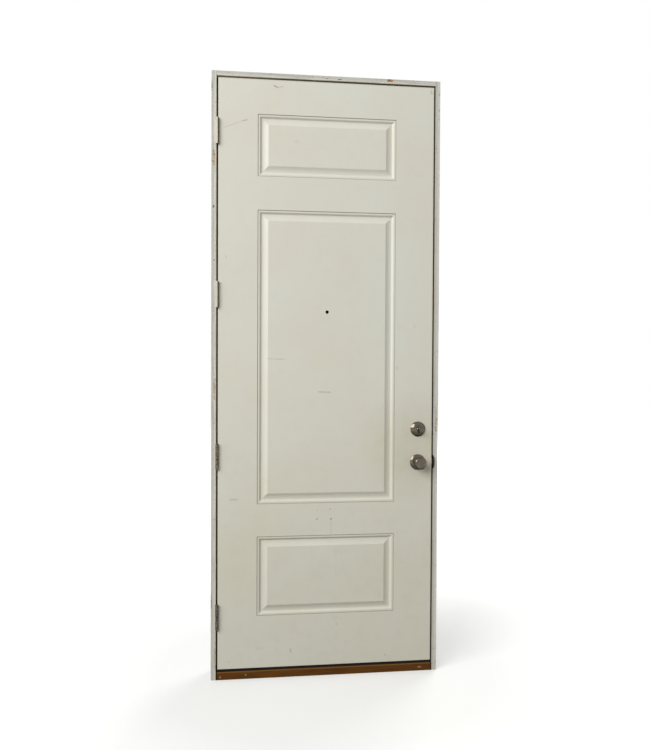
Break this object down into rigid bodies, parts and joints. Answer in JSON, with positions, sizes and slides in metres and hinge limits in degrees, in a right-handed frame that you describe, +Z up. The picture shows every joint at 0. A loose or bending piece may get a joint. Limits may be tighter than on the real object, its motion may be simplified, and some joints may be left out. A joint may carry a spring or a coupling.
{
  "type": "prehung exterior door",
  "caption": "Insulated exterior door leaf with pressed panels, knob set, deadbolt and viewer, hung on butt hinges in a wood frame with stops, weatherstrip and sill.",
  "frame": {"origin": "on the sill's underside, midway between the jambs and midway through the jambs' depth", "axes": "+X across the opening to the lock side, +Y from the room to the outdoors, +Z up"},
  "size_m": [0.953, 0.201, 2.491],
  "materials": {
    "leaf_paint": "satin paint, scuffed",
    "leaf_edge_paint": "painted wood",
    "core_foam": "rigid foam",
    "jamb_paint": "painted wood, chipped",
    "seal_foam": "covered foam strip",
    "sweep_vinyl": "matte black vinyl",
    "sill_composite": "brown stain, worn",
    "sill_aluminium": "mill finish",
    "hinge_steel": "dull, darkened",
    "hinge_overpaint": "painted over",
    "satin_nickel": "satin nickel",
    "black_steel": "black",
    "viewer_metal": "blackened",
    "viewer_glass": "dark lens"
  },
  "bodies": {
    "frame": {"hinge_jamb": "jamb_paint", "strike_jamb": "jamb_paint", "head_jamb": "jamb_paint", "hinge_side_seal": "seal_foam", "strike_side_seal": "seal_foam", "head_seal": "seal_foam", "sill_riser": "sill_composite", "sill_wedge": "sill_composite", "sill_deck": "sill_aluminium", "latch_strike": "black_steel", "deadbolt_strike": "black_steel", "hinge_stop": "jamb_paint", "strike_stop": "jamb_paint", "head_stop": "jamb_paint", "hinge_pins": "hinge_steel", "jamb_hinge_leaf_1": "hinge_steel", "jamb_hinge_leaf_2": "hinge_steel", "jamb_hinge_leaf_3": "hinge_overpaint", "jamb_hinge_leaf_4": "hinge_overpaint"},
    "leaf": {"interior_skin": "leaf_paint", "exterior_skin": "leaf_paint", "leaf_core": "core_foam", "hinge_stile": "leaf_edge_paint", "lock_stile": "leaf_edge_paint", "bottom_rail": "leaf_edge_paint", "top_rail": "leaf_edge_paint", "door_sweep": "sweep_vinyl", "interior_rose": "satin_nickel", "exterior_rose": "satin_nickel", "latch_plate": "satin_nickel", "latch_bolt": "satin_nickel", "deadbolt_rose": "satin_nickel", "deadbolt_cylinder": "satin_nickel", "deadbolt_plate": "satin_nickel", "viewer_barrel": "viewer_metal", "viewer_lenses": "viewer_glass", "door_hinge_leaf_1": "hinge_steel", "door_hinge_leaf_2": "hinge_steel", "door_hinge_leaf_3": "hinge_overpaint", "door_hinge_leaf_4": "hinge_overpaint"},
    "knobs": {"interior_knob": "satin_nickel", "exterior_knob": "satin_nickel", "knob_spindle": "satin_nickel"},
    "thumb_turn": {"thumb_turn": "satin_nickel"},
    "deadbolt": {"deadbolt_bolt": "satin_nickel"}
  },
  "joints": [
    {"name": "door_swing", "type": "hinge", "parent": "frame", "child": "leaf", "pos_m": [-0.45275, -0.0647, 1.2545], "axis": [0, 0, -1], "range_deg": [0, 170]},
    {"name": "knob_turn", "type": "hinge", "parent": "leaf", "child": "knobs", "pos_m": [0.3892, -0.03575, 0.8905], "axis": [0, 1, 0], "range_deg": [-60, 60], "stiffness_Nm_per_rad": 0.4},
    {"name": "deadbolt_slide", "type": "slide", "parent": "leaf", "child": "deadbolt", "axis": [1, 0, 0], "range_m": [0, 0.0254]},
    {"name": "deadbolt_turn", "type": "hinge", "parent": "leaf", "child": "thumb_turn", "pos_m": [0.3892, -0.03575, 1.0302], "axis": [0, 1, 0], "range_deg": [0, 90]}
  ],
  "couplings": [
    {"joint": "deadbolt_turn", "follows": "deadbolt_slide", "rad_per_m": 61.84}
  ]
}
